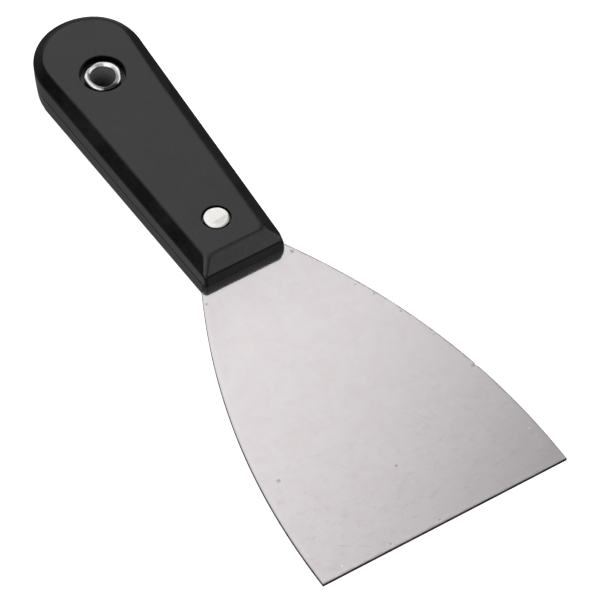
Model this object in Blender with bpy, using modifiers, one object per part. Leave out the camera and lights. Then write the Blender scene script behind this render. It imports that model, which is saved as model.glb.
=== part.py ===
"""Flexible putty knife: a flared steel blade held between two moulded handle scales.

The knife lies flat on its back scale. The blade points along -Y, the hang hole is
toward +Y, +Z is up, and the origin is the middle of the footprint. Lengths are metres.
"""
import math

import bmesh
import bpy

# Blade: one sheet of spring steel, with its tang inside the handle.
BLADE_WIDTH = 0.0762
BLADE_REACH = 0.0990
BLADE_ROOT_WIDTH = 0.0282
BLADE_THICKNESS = 0.0010
FLARE_POWER = 2.14
TANG_WIDTH = 0.0190
SHOULDER_START = 0.0030
SHOULDER_END = 0.0095

# Handle: two mirrored scales, wider at the round butt than at the square front.
HANDLE_LENGTH = 0.0973
HANDLE_THICKNESS = 0.0130
HANDLE_FRONT_WIDTH = 0.0253
SIDE_TAPER = 0.039
DRAFT = 0.00015
CHAMFER_WIDTH = 0.00345
FRONT_CHAMFER_WIDTH = 0.00500
BUTT_CHAMFER_WIDTH = 0.00255
CHAMFER_HEIGHT = 0.00195
CORNER_RADIUS = 0.0015
SOFT_EDGE = 0.0007
WALL_EDGE = 0.0003

# Compression rivet through the front of the handle, measured from the handle's front.
RIVET_PLACE = 0.0150
RIVET_HEAD_DIAMETER = 0.0072
RIVET_HEAD_HEIGHT = 0.0009
RIVET_RECESS_DIAMETER = 0.0083
RIVET_RECESS_DEPTH = 0.0013
RIVET_TUBE_DIAMETER = 0.0046
RIVET_SHANK_DIAMETER = 0.0030
RIVET_TUBE_WALL = 0.0005

# Eyelet that lines the hang hole.
HANG_PLACE = 0.0745
COUNTERBORE_DIAMETER = 0.0131
COUNTERBORE_DEPTH = 0.0018
EYELET_BORE = 0.0076
EYELET_WALL = 0.0005
EYELET_RIM_DIAMETER = 0.0105
EYELET_RIM_DEPTH = 0.0008
WASHER_DIAMETER = 0.0108
WASHER_THICKNESS = 0.0004

# Working clearance between neighbouring pieces.
GAP = 0.0003
PARTING_GAP = 0.0003

BUTT_SEGMENTS = 40
FLARE_SEGMENTS = 28
ROUND_STEPS = 48

OVERALL_LENGTH = BLADE_REACH + HANDLE_LENGTH
FRONT_Y = BLADE_REACH - OVERALL_LENGTH / 2
MID_Z = HANDLE_THICKNESS / 2
RIVET_Y = FRONT_Y + RIVET_PLACE
HANG_Y = FRONT_Y + HANG_PLACE


def clear_scene():
    """Remove every object of the open scene."""
    for scene_object in list(bpy.data.objects):
        bpy.data.objects.remove(scene_object, do_unlink=True)


def new_collection(name):
    """Make a collection in the scene."""
    collection = bpy.data.collections.new(name)
    bpy.context.scene.collection.children.link(collection)
    return collection


def new_object(name, mesh, collection, material=None):
    """Link a mesh as a named object, with its material."""
    made = bpy.data.objects.new(name, mesh)
    if material is not None:
        mesh.materials.append(material)
    collection.objects.link(made)
    return made


def principled(name, color, roughness, metallic):
    """Make a Principled material."""
    material = bpy.data.materials.new(name)
    material.use_nodes = True
    shader = material.node_tree.nodes["Principled BSDF"]
    shader.inputs["Base Color"].default_value = (*color, 1.0)
    shader.inputs["Roughness"].default_value = roughness
    shader.inputs["Metallic"].default_value = metallic
    return material


def smooth_round_sides(made, angle=30.0):
    """Shade smooth, except across edges sharper than the angle."""
    made.data.shade_smooth()
    made.data.set_sharp_from_angle(angle=math.radians(angle))


def mark_as_cutter(made):
    """Show an object as a wire guide that isn't part of the knife."""
    made.hide_render = True
    made.display_type = "WIRE"


def cut(target, cutter):
    """Subtract a cutter from a mesh object."""
    boolean = target.modifiers.new("cut_" + cutter.name, "BOOLEAN")
    boolean.operation = "DIFFERENCE"
    boolean.solver = "EXACT"
    boolean.object = cutter


def plate(name, outlines, thickness, middle_z, collection, material=None):
    """Make a flat plate from closed outlines; the inner outlines become holes."""
    curve = bpy.data.curves.new(name + "_outline", "CURVE")
    curve.dimensions = "2D"
    curve.fill_mode = "BOTH"
    curve.extrude = thickness / 2
    for outline in outlines:
        spline = curve.splines.new("POLY")
        spline.points.add(len(outline) - 1)
        for point, (x, y) in zip(spline.points, outline):
            point.co = (x, y, 0.0, 1.0)
        spline.use_cyclic_u = True
    guide = bpy.data.objects.new(name + "_outline", curve)
    guide.location.z = middle_z
    collection.objects.link(guide)
    bpy.context.view_layer.update()
    evaluated = guide.evaluated_get(bpy.context.evaluated_depsgraph_get())
    mesh = bpy.data.meshes.new_from_object(evaluated)
    place = guide.matrix_world.copy()
    bpy.data.objects.remove(guide, do_unlink=True)
    welded = bmesh.new()
    welded.from_mesh(mesh)
    bmesh.ops.remove_doubles(welded, verts=welded.verts, dist=0.00001)
    bmesh.ops.recalc_face_normals(welded, faces=welded.faces)
    welded.to_mesh(mesh)
    welded.free()
    made = new_object(name, mesh, collection, material)
    made.matrix_world = place
    return made


def circle(center_y, diameter):
    """Points of a full circle on the centre line."""
    turns = [2 * math.pi * step / ROUND_STEPS for step in range(ROUND_STEPS)]
    radius = diameter / 2
    return [(radius * math.cos(turn), center_y + radius * math.sin(turn)) for turn in turns]


def turned(name, profile, center_y, collection, material=None):
    """Turn a closed (radius, z) profile about a vertical axis on the centre line."""
    mesh = bpy.data.meshes.new(name)
    points = [(radius, 0.0, z) for radius, z in profile]
    loop = [(step, (step + 1) % len(points)) for step in range(len(points))]
    on_axis = profile[0][0] == 0.0 and profile[-1][0] == 0.0
    mesh.from_pydata(points, loop[:-1] if on_axis else loop, [])
    made = new_object(name, mesh, collection, material)
    made.location.y = center_y
    screw = made.modifiers.new("turn", "SCREW")
    screw.axis = "Z"
    screw.angle = 2 * math.pi
    screw.steps = ROUND_STEPS
    screw.render_steps = ROUND_STEPS
    screw.use_merge_vertices = True
    screw.merge_threshold = 0.00001
    screw.use_smooth_shade = True
    return made


def flipped(profile):
    """Mirror a profile about the knife's middle plane, still running top to bottom."""
    return [(radius, HANDLE_THICKNESS - z) for radius, z in reversed(profile)]


def rounded_corner(center_r, center_z, radius, start, end, steps):
    """Points of an arc in a turned profile, between two angles in degrees."""
    angles = [math.radians(start + (end - start) * step / steps) for step in range(steps + 1)]
    return [(center_r + radius * math.cos(a), center_z + radius * math.sin(a)) for a in angles]


def flare_half_width(from_front):
    """Half width of the flared blade; from_front is negative toward the tip."""
    tip = BLADE_WIDTH / 2
    along = 1.0 + from_front / BLADE_REACH
    return tip - (tip - BLADE_ROOT_WIDTH / 2) * along ** FLARE_POWER


def steel_half_width(from_front):
    """Half width of blade, shoulder and tang in one."""
    if from_front <= SHOULDER_START:
        return flare_half_width(from_front)
    share = min((from_front - SHOULDER_START) / (SHOULDER_END - SHOULDER_START), 1.0)
    blend = share * share * (3.0 - 2.0 * share)
    return flare_half_width(from_front) * (1.0 - blend) + TANG_WIDTH / 2 * blend


def steel_side_stations(start):
    """Places along the blade's side, from a start to the end of the shoulder."""
    flare = SHOULDER_START - start
    stations = [start + flare * step / FLARE_SEGMENTS for step in range(FLARE_SEGMENTS)]
    shoulder = SHOULDER_END - SHOULDER_START
    return stations + [SHOULDER_START + shoulder * step / 10 for step in range(11)]


def steel_outline(start, extra):
    """Outline of blade and tang, grown sideways by a clearance."""
    side = [(steel_half_width(s) + extra, FRONT_Y + s) for s in steel_side_stations(start)]
    radius = TANG_WIDTH / 2 + extra
    turns = [math.pi * step / 24 for step in range(25)]
    end = [(radius * math.cos(turn), HANG_Y + radius * math.sin(turn)) for turn in turns]
    return side + end + [(-x, y) for x, y in reversed(side)]


def make_blade(collection):
    """Flared blade and tang with the rivet and eyelet holes."""
    steel = principled("blade_steel", (0.62, 0.60, 0.60), 0.32, 1.0)
    outlines = [
        steel_outline(-BLADE_REACH, 0.0),
        circle(RIVET_Y, RIVET_TUBE_DIAMETER + 2 * GAP),
        circle(HANG_Y, EYELET_BORE + 2 * EYELET_WALL + 2 * GAP),
    ]
    return plate("blade", outlines, BLADE_THICKNESS, MID_Z, collection, steel)


def scale_outline():
    """Plan outline of a scale at the parting plane: square front, round butt."""
    lean = math.atan(SIDE_TAPER)
    front = HANDLE_FRONT_WIDTH / 2
    # The butt arc is tangent to both leaning sides and ends at the handle's length.
    radius = (front + SIDE_TAPER * HANDLE_LENGTH) * math.cos(lean)
    radius /= 1.0 + math.sin(lean)
    center = FRONT_Y + HANDLE_LENGTH - radius
    sweep = math.pi + 2 * lean
    turns = [-lean + sweep * step / BUTT_SEGMENTS for step in range(BUTT_SEGMENTS + 1)]
    arc = [(radius * math.cos(turn), center + radius * math.sin(turn)) for turn in turns]
    return [(front, FRONT_Y)] + arc + [(-front, FRONT_Y)]


def shift_top_corner(point):
    """Move a point of the top face so the chamfer is wider in front and narrower at the butt."""
    lean = math.atan(SIDE_TAPER)
    front = HANDLE_FRONT_WIDTH / 2
    radius = (front + SIDE_TAPER * HANDLE_LENGTH) * math.cos(lean) / (1.0 + math.sin(lean))
    center = FRONT_Y + HANDLE_LENGTH - radius
    if point.y > center:
        share = (point.y - center) / (radius - CHAMFER_WIDTH)
        point.y += (CHAMFER_WIDTH - BUTT_CHAMFER_WIDTH) * share
    elif point.y < FRONT_Y + 2 * CHAMFER_WIDTH:
        shift = FRONT_CHAMFER_WIDTH - CHAMFER_WIDTH
        point.y += shift
        point.x += math.copysign(SIDE_TAPER * shift, point.x)


def is_front_corner(edge):
    """True for the two ridges that rise from the square front corners."""
    low, high = sorted((vert.co for vert in edge.verts), key=lambda co: co.z)
    rises = high.z - low.z > CHAMFER_HEIGHT / 2
    return rises and low.y < FRONT_Y + CHAMFER_WIDTH / 2


def bevel_edges(shape, edges, width, segments):
    """Round a set of edges."""
    bmesh.ops.bevel(
        shape, geom=edges, offset=width, offset_type="OFFSET", segments=segments,
        profile=0.5, affect="EDGES", clamp_overlap=True)


def level_edges(shape, z):
    """Edges that lie flat at one height."""
    return [e for e in shape.edges if all(abs(v.co.z - z) < 0.00002 for v in e.verts)]


def scale_mesh(name):
    """Solid scale above the parting plane, before it is drilled."""
    shape = bmesh.new()
    bottom = [shape.verts.new((x, y, PARTING_GAP / 2)) for x, y in scale_outline()]
    for step, vert in enumerate(bottom):
        shape.edges.new((vert, bottom[(step + 1) % len(bottom)]))
    face = bmesh.ops.edgeloop_fill(shape, edges=shape.edges)["faces"][0]
    face.normal_update()
    if face.normal.z < 0.0:
        face.normal_flip()
    wall = MID_Z - CHAMFER_HEIGHT - PARTING_GAP / 2
    for inset, rise in ((DRAFT, wall), (CHAMFER_WIDTH, CHAMFER_HEIGHT)):
        bmesh.ops.inset_region(
            shape, faces=[face], thickness=inset, depth=rise,
            use_boundary=True, use_even_offset=True)
    for vert in face.verts:
        shift_top_corner(vert.co)
    open_edges = [edge for edge in shape.edges if edge.is_boundary]
    bmesh.ops.edgeloop_fill(shape, edges=open_edges)
    bmesh.ops.recalc_face_normals(shape, faces=shape.faces)
    corners = [edge for edge in shape.edges if is_front_corner(edge)]
    bevel_edges(shape, corners, CORNER_RADIUS, 4)
    bevel_edges(shape, level_edges(shape, MID_Z), SOFT_EDGE, 3)
    bevel_edges(shape, level_edges(shape, MID_Z - CHAMFER_HEIGHT), WALL_EDGE, 2)
    mesh = bpy.data.meshes.new(name)
    shape.to_mesh(mesh)
    shape.free()
    return mesh


def drill(name, center_y, diameter, low_z, high_z, collection):
    """Make an upright cylinder that cuts a hole."""
    outline = [circle(center_y, diameter)]
    made = plate(name, outline, high_z - low_z, (high_z + low_z) / 2, collection)
    mark_as_cutter(made)
    return made


def make_cutters(collection):
    """Make the tang pocket and the holes that both scales share."""
    pocket_height = BLADE_THICKNESS + 2 * GAP
    lead_in = -0.001
    pocket = plate(
        "tang_pocket", [steel_outline(lead_in, GAP)], pocket_height, MID_Z, collection)
    mark_as_cutter(pocket)
    past = 0.002
    top = HANDLE_THICKNESS
    rivet_bore = RIVET_TUBE_DIAMETER + 2 * GAP
    eyelet_bore = EYELET_BORE + 2 * EYELET_WALL + 2 * GAP
    recess = RIVET_RECESS_DEPTH
    sink = COUNTERBORE_DEPTH
    holes = {
        "rivet_hole": (RIVET_Y, rivet_bore, -past, top + past),
        "eyelet_hole": (HANG_Y, eyelet_bore, -past, top + past),
        "front_rivet_recess": (RIVET_Y, RIVET_RECESS_DIAMETER, top - recess, top + past),
        "back_rivet_recess": (RIVET_Y, RIVET_RECESS_DIAMETER, -past, recess),
        "front_counterbore": (HANG_Y, COUNTERBORE_DIAMETER, top - sink, top + past),
        "back_counterbore": (HANG_Y, COUNTERBORE_DIAMETER, -past, sink),
    }
    cutters = {name: drill(name, *size, collection) for name, size in holes.items()}
    cutters["tang_pocket"] = pocket
    return cutters


def make_scale(name, side, cutters, collection):
    """Make one scale; side is +1 for the front scale and -1 for the back scale."""
    plastic = principled(name + "_plastic", (0.035, 0.035, 0.036), 0.42, 0.0)
    mesh = scale_mesh(name)
    if side < 0:
        flip = bmesh.new()
        flip.from_mesh(mesh)
        bmesh.ops.scale(flip, vec=(1.0, 1.0, -1.0), verts=flip.verts)
        bmesh.ops.reverse_faces(flip, faces=flip.faces)
        flip.to_mesh(mesh)
        flip.free()
    made = new_object(name, mesh, collection, plastic)
    made.location.z = MID_Z
    face = "front" if side > 0 else "back"
    for cutter in ("tang_pocket", "rivet_hole", "eyelet_hole"):
        cut(made, cutters[cutter])
    cut(made, cutters[face + "_rivet_recess"])
    cut(made, cutters[face + "_counterbore"])
    smooth_round_sides(made, 25.0)
    return made


def rivet_head_profile(top_z):
    """Outer half of a low rivet head, from its middle to the underside of its rim."""
    radius = RIVET_HEAD_DIAMETER / 2
    edge = 0.00025
    crown = 0.00008
    rim = rounded_corner(radius - edge, top_z - crown - edge, edge, 90.0, 0.0, 4)
    inner = [(0.0, top_z), (radius * 0.5, top_z - crown * 0.3)]
    return inner + rim + [(radius, top_z - RIVET_HEAD_HEIGHT)]


def make_rivet_stud(collection):
    """Solid half of the rivet, with its head in the front scale."""
    bright = principled("rivet_stud_metal", (0.80, 0.80, 0.79), 0.25, 1.0)
    top = HANDLE_THICKNESS
    shank = RIVET_SHANK_DIAMETER / 2
    end = RIVET_RECESS_DEPTH + 2 * RIVET_HEAD_HEIGHT
    chamfer = 0.0004
    profile = rivet_head_profile(top) + [
        (shank, top - RIVET_HEAD_HEIGHT),
        (shank, end + chamfer),
        (shank - chamfer, end),
        (0.0, end),
    ]
    return turned("rivet_stud", profile, RIVET_Y, collection, bright)


def make_rivet_cap(collection):
    """Tubular half of the rivet, with its head in the back scale."""
    bright = principled("rivet_cap_metal", (0.78, 0.78, 0.77), 0.27, 1.0)
    top = HANDLE_THICKNESS
    outer = RIVET_TUBE_DIAMETER / 2
    inner = outer - RIVET_TUBE_WALL
    mouth = top - RIVET_RECESS_DEPTH - 2 * RIVET_HEAD_HEIGHT
    blind = RIVET_HEAD_HEIGHT + GAP
    head = [(radius, top - z) for radius, z in reversed(rivet_head_profile(top))]
    bore = [(0.0, blind), (inner, blind), (inner, mouth)]
    profile = bore + [(outer, mouth), (outer, RIVET_HEAD_HEIGHT)] + head
    return turned("rivet_cap", profile, RIVET_Y, collection, bright)


def make_eyelet_barrel(collection):
    """Tube that lines the hang hole, rolled outward at both ends."""
    plated = principled("eyelet_barrel_metal", (0.72, 0.71, 0.69), 0.28, 1.0)
    bore = EYELET_BORE / 2
    outer = bore + EYELET_WALL
    rim = EYELET_RIM_DIAMETER / 2
    top = HANDLE_THICKNESS - EYELET_RIM_DEPTH
    lip = 0.00035
    floor = HANDLE_THICKNESS - COUNTERBORE_DEPTH + GAP
    washer_low = COUNTERBORE_DEPTH - GAP - WASHER_THICKNESS
    hem_high = washer_low - GAP
    hem_low = hem_high - EYELET_WALL
    hem = WASHER_DIAMETER / 2 - 0.0006
    flare = rim - lip - bore
    rolled_rim = [(bore + flare * 0.25, top - 0.00014), (bore + flare * 0.55, top)]
    rolled_rim += rounded_corner(rim - lip, top - lip, lip, 90.0, 0.0, 4)
    rolled_rim += [(rim - 0.0001, floor), (outer, floor)]
    rolled_hem = [(outer, hem_high), (hem, hem_high), (hem, hem_low)]
    rolled_hem += [(bore + 0.0002, hem_low), (bore, hem_low + 0.0002)]
    profile = rolled_rim + rolled_hem + [(bore, top - 0.0007)]
    return turned("eyelet_barrel", profile, HANG_Y, collection, plated)


def make_eyelet_washer(collection):
    """Flat ring under the rolled end of the eyelet, in the back scale."""
    plated = principled("eyelet_washer_metal", (0.70, 0.69, 0.67), 0.30, 1.0)
    outer = WASHER_DIAMETER / 2
    inner = EYELET_BORE / 2 + EYELET_WALL + GAP
    high = COUNTERBORE_DEPTH - GAP
    low = high - WASHER_THICKNESS
    profile = [(inner, high), (outer, high), (outer, low), (inner, low)]
    return turned("eyelet_washer", profile, HANG_Y, collection, plated)


def main():
    """Build the knife."""
    clear_scene()
    knife = new_collection("putty_knife")
    tools = new_collection("cutters")
    cutters = make_cutters(tools)
    make_blade(knife)
    make_scale("front_scale", 1, cutters, knife)
    make_scale("back_scale", -1, cutters, knife)
    make_rivet_stud(knife)
    make_rivet_cap(knife)
    make_eyelet_barrel(knife)
    make_eyelet_washer(knife)


main()
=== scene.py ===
"""Looks of the flexible putty knife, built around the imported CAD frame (metres, +Z up)."""
import math

import bmesh
import bpy
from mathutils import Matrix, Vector


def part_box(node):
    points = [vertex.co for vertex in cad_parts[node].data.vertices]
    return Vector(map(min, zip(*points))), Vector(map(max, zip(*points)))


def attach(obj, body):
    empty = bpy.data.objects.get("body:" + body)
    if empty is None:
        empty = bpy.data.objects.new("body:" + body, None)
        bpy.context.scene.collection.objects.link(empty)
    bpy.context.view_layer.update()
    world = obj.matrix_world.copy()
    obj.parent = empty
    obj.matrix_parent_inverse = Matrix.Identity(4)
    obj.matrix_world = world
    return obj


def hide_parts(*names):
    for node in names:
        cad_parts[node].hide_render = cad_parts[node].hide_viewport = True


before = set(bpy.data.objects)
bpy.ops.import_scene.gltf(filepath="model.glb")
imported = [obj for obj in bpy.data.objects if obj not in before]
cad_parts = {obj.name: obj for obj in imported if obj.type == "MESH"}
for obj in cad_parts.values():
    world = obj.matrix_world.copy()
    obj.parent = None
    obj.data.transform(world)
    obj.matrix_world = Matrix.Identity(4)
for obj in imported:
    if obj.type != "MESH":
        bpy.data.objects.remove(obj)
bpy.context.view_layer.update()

MM = 0.001

# Places and sizes that the CAD frame fixes.
BLADE_LOW, BLADE_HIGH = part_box("blade")
SCALE_LOW, SCALE_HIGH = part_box("front_scale")
RIVET_LOW, RIVET_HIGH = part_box("rivet_stud")
EYELET_LOW, EYELET_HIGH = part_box("eyelet_barrel")
THICKNESS = BLADE_HIGH.z - BLADE_LOW.z
MID_Z = (BLADE_HIGH.z + BLADE_LOW.z) / 2
HALF_HANDLE = SCALE_HIGH.z - MID_Z
FRONT_Y = SCALE_LOW.y
BUTT_Y = SCALE_HIGH.y
TIP_Y = BLADE_LOW.y
TIP_HALF_WIDTH = BLADE_HIGH.x
BLADE_REACH = FRONT_Y - TIP_Y
RIVET_Y = (RIVET_LOW.y + RIVET_HIGH.y) / 2
RIVET_RADIUS = (RIVET_HIGH.x - RIVET_LOW.x) / 2
HANG_Y = (EYELET_LOW.y + EYELET_HIGH.y) / 2
EYELET_RADIUS = (EYELET_HIGH.x - EYELET_LOW.x) / 2

# Blade outline.
ROOT_HALF_WIDTH = 14.1 * MM
FLARE_POWER = 2.14
TANG_HALF_WIDTH = 9.5 * MM
SHOULDER_START = 3.0 * MM
SHOULDER_END = 9.5 * MM
SHEAR_ROUND = 0.12 * MM
NICK_PLACE = -60.4 * MM
NICK_DEPTH = 0.34 * MM
NICK_WIDTH = 0.45 * MM
BLADE_STATIONS = 320
FLAT_NORMAL = 0.999

# Handle outline. Each share is a chamfer's width over that of the side chamfers.
FRONT_HALF_WIDTH = 12.70 * MM
SIDE_TAPER = 0.039
LEAN = math.atan(SIDE_TAPER)
HANDLE_SKEW = 0.005
TOP_SHIFT = 0.15 * MM
BUTT_RADIUS = ((FRONT_HALF_WIDTH + SIDE_TAPER * (BUTT_Y - FRONT_Y)) * math.cos(LEAN)
               / (1.0 + math.sin(LEAN)))
BUTT_LEAN = 0.9 * MM
BUTT_BULGE = 0.42 * MM
FRONT_CHAMFER_SHARE = 1.40
REAR_SIDE_CHAMFER_SHARE = 0.86
BUTT_CHAMFER_SHARE = 0.71
REAR_SIDE_START = FRONT_Y + 60.0 * MM
REAR_SIDE_END = FRONT_Y + 82.0 * MM

# Section of one scale, from the parting face up to the flat top. TOP_EDGE is how far in from
# the widest outline the top starts; FRONT_CRISPNESS takes some rounding off the front chamfer.
PARTING_GAP = 0.24 * MM
PARTING_DEPTH = 1.2 * MM
PARTING_ROUND = 0.12 * MM
CHAMFER_WIDTH = 3.45 * MM
CHAMFER_HEIGHT = 1.95 * MM
WALL_TOP = HALF_HANDLE - CHAMFER_HEIGHT
WALL_ROUND = 0.7 * MM
SLOPE_START = WALL_TOP - 0.2 * MM
TOP_EDGE = CHAMFER_WIDTH + 0.20 * MM
TOP_ROUND = 3.6 * MM
TOP_RIM = 2.2 * MM
FRONT_CRISPNESS = 0.6

# Plan radii of the front corners: of the wall, of the right one across and along, and on top.
WALL_CORNER = 1.0 * MM
RIGHT_CORNER = 1.9 * MM
ROUND_CORNER = 3.6 * MM
TOP_CORNER = 1.9 * MM

# Number of steps round each part of a scale.
WALL_STEPS = 6
FRONT_STEPS = 12
CORNER_STEPS = 16
SIDE_STEPS = 56
BUTT_STEPS = 72

# Holes in the handle, and the clearances round what sits in them.
FIT_GAP = 0.1 * MM
POCKET_GAP = 0.12 * MM
POCKET_START = -1.0 * MM
POCKET_STATIONS = 60
CUTTER_REACH = 3.0 * MM
CUTTER_BRIM = 1.0 * MM
HOLE_DRAFT = 0.05 * MM
FLOOR_ROUND = 0.2 * MM
RIVET_RECESS_RADIUS = 4.1 * MM
RIVET_RECESS_DEPTH = 1.2 * MM
RIVET_RECESS_LIP = 0.12 * MM
RIVET_BORE_RADIUS = 2.5 * MM
COUNTERBORE_RADIUS = 6.4 * MM
COUNTERBORE_DEPTH = 1.8 * MM
COUNTERBORE_LIP = 0.22 * MM
TROUGH_DEPTH = 0.7 * MM
TROUGH_TOP_RADIUS = EYELET_RADIUS - 0.6 * MM
TROUGH_FOOT_RADIUS = EYELET_RADIUS - 0.2 * MM
TROUGH_ROUND = 0.1 * MM

# Rivet halves: a stud with a solid shank, and a cap with a tube round it.
RIVET_SINK = 0.03 * MM
RIVET_HEAD = 0.9 * MM
SHANK_RADIUS = 1.5 * MM
SHANK_REACH = 2.0 * MM
TUBE_RADIUS = 2.3 * MM
TUBE_BORE_RADIUS = 1.75 * MM
TUBE_REACH = 2.5 * MM
TUBE_FLOOR = 0.3 * MM
RIM_UNEVENNESS = 0.045 * MM

# Eyelet: a tube with a funnel-shaped rim in front and a rolled hem over the washer.
EYELET_BORE_RADIUS = 3.65 * MM
EYELET_WALL = 0.45 * MM
TUBE_OUTER_RADIUS = EYELET_BORE_RADIUS + EYELET_WALL
RIM_SINK = 0.75 * MM
HEM_SINK = 0.75 * MM
HEM_RADIUS = 4.9 * MM
HEM_THICKNESS = 0.45 * MM
WASHER_ROUND = 0.1 * MM

# Camera that matches the photo: front, left side and top in view.
CAMERA_AZIMUTH = math.radians(-32.24)
CAMERA_ELEVATION = math.radians(52.64)
CAMERA_DISTANCE = 1.7
CAMERA_LENS = 379.1
CAMERA_SENSOR = 36.0
CAMERA_TARGET = Vector((6.745 * MM, FRONT_Y - 16.708 * MM, MID_Z))

FLOOR_GAP = 0.2 * MM
FLOOR_SIZE = 12.0


class Tree:
    """A node tree under construction."""

    def __init__(self, tree):
        self.nodes, self.links = tree.nodes, tree.links

    def feed(self, socket, value):
        """Link a socket or set a number on it."""
        if isinstance(value, bpy.types.NodeSocket):
            self.links.new(value, socket)
        elif value is not None:
            socket.default_value = value

    def math(self, operation, first, second=None, third=None):
        """Math node; returns its output."""
        node = self.nodes.new("ShaderNodeMath")
        node.operation = operation
        for socket, value in zip(node.inputs, (first, second, third)):
            self.feed(socket, value)
        return node.outputs[0]

    def vector(self, operation, first, second):
        """Vector Math node; returns its node."""
        node = self.nodes.new("ShaderNodeVectorMath")
        node.operation = operation
        self.feed(node.inputs[0], first)
        self.feed(node.inputs[1], second)
        return node

    def split(self, vector):
        """The three parts of a vector."""
        node = self.nodes.new("ShaderNodeSeparateXYZ")
        self.links.new(vector, node.inputs[0])
        return tuple(node.outputs)

    def remap(self, value, low, high):
        """Smooth step from 0 at low to 1 at high."""
        node = self.nodes.new("ShaderNodeMapRange")
        node.interpolation_type = "SMOOTHSTEP"
        self.feed(node.inputs["Value"], value)
        node.inputs["From Min"].default_value = low
        node.inputs["From Max"].default_value = high
        return node.outputs[0]

    def joined(self, operation, values):
        """Several values joined by one two-sided operation."""
        result = values[0]
        for value in values[1:]:
            result = self.math(operation, result, value)
        return result

    def most(self, *values):
        """Largest of several values."""
        return self.joined("MAXIMUM", values)

    def product(self, *values):
        """Product of several values."""
        return self.joined("MULTIPLY", values)

    def total(self, *values):
        """Sum of several values; a pair stands for a value times its weight."""
        return self.joined("ADD", [self.product(*value) if isinstance(value, tuple) else value
                                   for value in values])

    def glow(self, point, lobes):
        """Sum of soft round lobes of light: each is (centre, spread along each axis, strength)."""
        light = 0.0
        for centre, spread, strength in lobes:
            offset = self.vector("SUBTRACT", point, centre).outputs["Vector"]
            scaled = self.vector("DIVIDE", offset, spread).outputs["Vector"]
            squared = self.vector("DOT_PRODUCT", scaled, scaled).outputs["Value"]
            lobe = self.math("EXPONENT", self.math("MULTIPLY", squared, -0.5))
            light = self.math("MULTIPLY_ADD", lobe, strength, light)
        return light


class Shade(Tree):
    """A node material under construction; positions are the object's own, in metres."""

    def __init__(self, name):
        self.material = bpy.data.materials.new(name)
        self.material.use_nodes = True
        super().__init__(self.material.node_tree)
        self.shader = self.nodes["Principled BSDF"]
        self.point = self.nodes.new("ShaderNodeTexCoord").outputs["Object"]
        self.x, self.y, self.z = self.split(self.point)

    def set(self, **values):
        """Set shader inputs; underscores in names stand for spaces."""
        for name, value in values.items():
            self.feed(self.shader.inputs[name.replace("_", " ")], value)

    def noise(self, size, detail=2.0, roughness=0.5, stretch=(1.0, 1.0, 1.0), shift=0.0, twist=0.0):
        """Noise from 0 to 1 whose features are about size metres wide."""
        shifted = self.vector("ADD", self.point, (shift, shift * 0.7, shift * 1.3))
        sizes = tuple(size * part for part in stretch)
        scaled = self.vector("DIVIDE", shifted.outputs["Vector"], sizes)
        node = self.nodes.new("ShaderNodeTexNoise")
        node.inputs["Scale"].default_value = 1.0
        node.inputs["Detail"].default_value = detail
        node.inputs["Roughness"].default_value = roughness
        node.inputs["Distortion"].default_value = twist
        self.links.new(scaled.outputs["Vector"], node.inputs["Vector"])
        return node.outputs[0]

    def cells(self, size, shift=0.0):
        """Voronoi cells about size metres wide: (distance to the centre in sizes, random value)."""
        shifted = self.vector("ADD", self.point, (shift, shift * 0.7, 0.0))
        scaled = self.vector("DIVIDE", shifted.outputs["Vector"], (size, size, size))
        node = self.nodes.new("ShaderNodeTexVoronoi")
        node.inputs["Scale"].default_value = 1.0
        self.links.new(scaled.outputs["Vector"], node.inputs["Vector"])
        split = self.nodes.new("ShaderNodeSeparateColor")
        self.links.new(node.outputs["Color"], split.inputs[0])
        return node.outputs["Distance"], split.outputs[0]

    def specks(self, size, reach, share, shift=0.0):
        """Sparse round specks: 1 inside, on a share of the cells, out to reach sizes."""
        distance, chance = self.cells(size, shift)
        chosen = self.math("LESS_THAN", chance, share)
        return self.math("MULTIPLY", self.remap(distance, reach, reach * 0.5), chosen)

    def streak(self, start, end, width):
        """1 along a straight stroke between two plan points, fading at its rim."""
        (x0, y0), (x1, y1) = start, end
        length = math.hypot(x1 - x0, y1 - y0)
        along = ((x1 - x0) / length, (y1 - y0) / length) if length else (1.0, 0.0)
        offset = self.vector("SUBTRACT", self.point, ((x0 + x1) / 2, (y0 + y1) / 2, 0.0))
        run = self.vector("DOT_PRODUCT", offset.outputs["Vector"], (along[0], along[1], 0.0))
        across = self.vector("DOT_PRODUCT", offset.outputs["Vector"], (-along[1], along[0], 0.0))
        past = self.math("ABSOLUTE", run.outputs["Value"])
        past = self.math("MAXIMUM", self.math("SUBTRACT", past, length / 2), 0.0)
        aside = self.math("ABSOLUTE", across.outputs["Value"])
        squares = self.total(self.math("POWER", past, 2.0), self.math("POWER", aside, 2.0))
        reach = self.math("POWER", squares, 0.5)
        return self.remap(reach, width, width * 0.25)

    def blend(self, factor, first, second):
        """Colour between two colours."""
        node = self.nodes.new("ShaderNodeMix")
        node.data_type = "RGBA"
        self.feed(node.inputs["Factor"], factor)
        for name, colour in (("A", first), ("B", second)):
            socket = next(each for each in node.inputs if each.name == name and each.type == "RGBA")
            if isinstance(colour, bpy.types.NodeSocket):
                self.links.new(colour, socket)
            else:
                socket.default_value = (*colour, 1.0)
        return next(each for each in node.outputs if each.type == "RGBA")

    def shaded(self, colour, brightness):
        """Colour times a brightness."""
        node = self.vector("SCALE", colour, None)
        self.feed(node.inputs["Scale"], brightness)
        return node.outputs["Vector"]

    def bump(self, height, distance):
        """Surface relief: height 0 to 1 stands for distance metres."""
        node = self.nodes.new("ShaderNodeBump")
        node.inputs["Strength"].default_value = 1.0
        node.inputs["Distance"].default_value = distance
        self.feed(node.inputs["Height"], height)
        self.links.new(node.outputs["Normal"], self.shader.inputs["Normal"])


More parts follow.
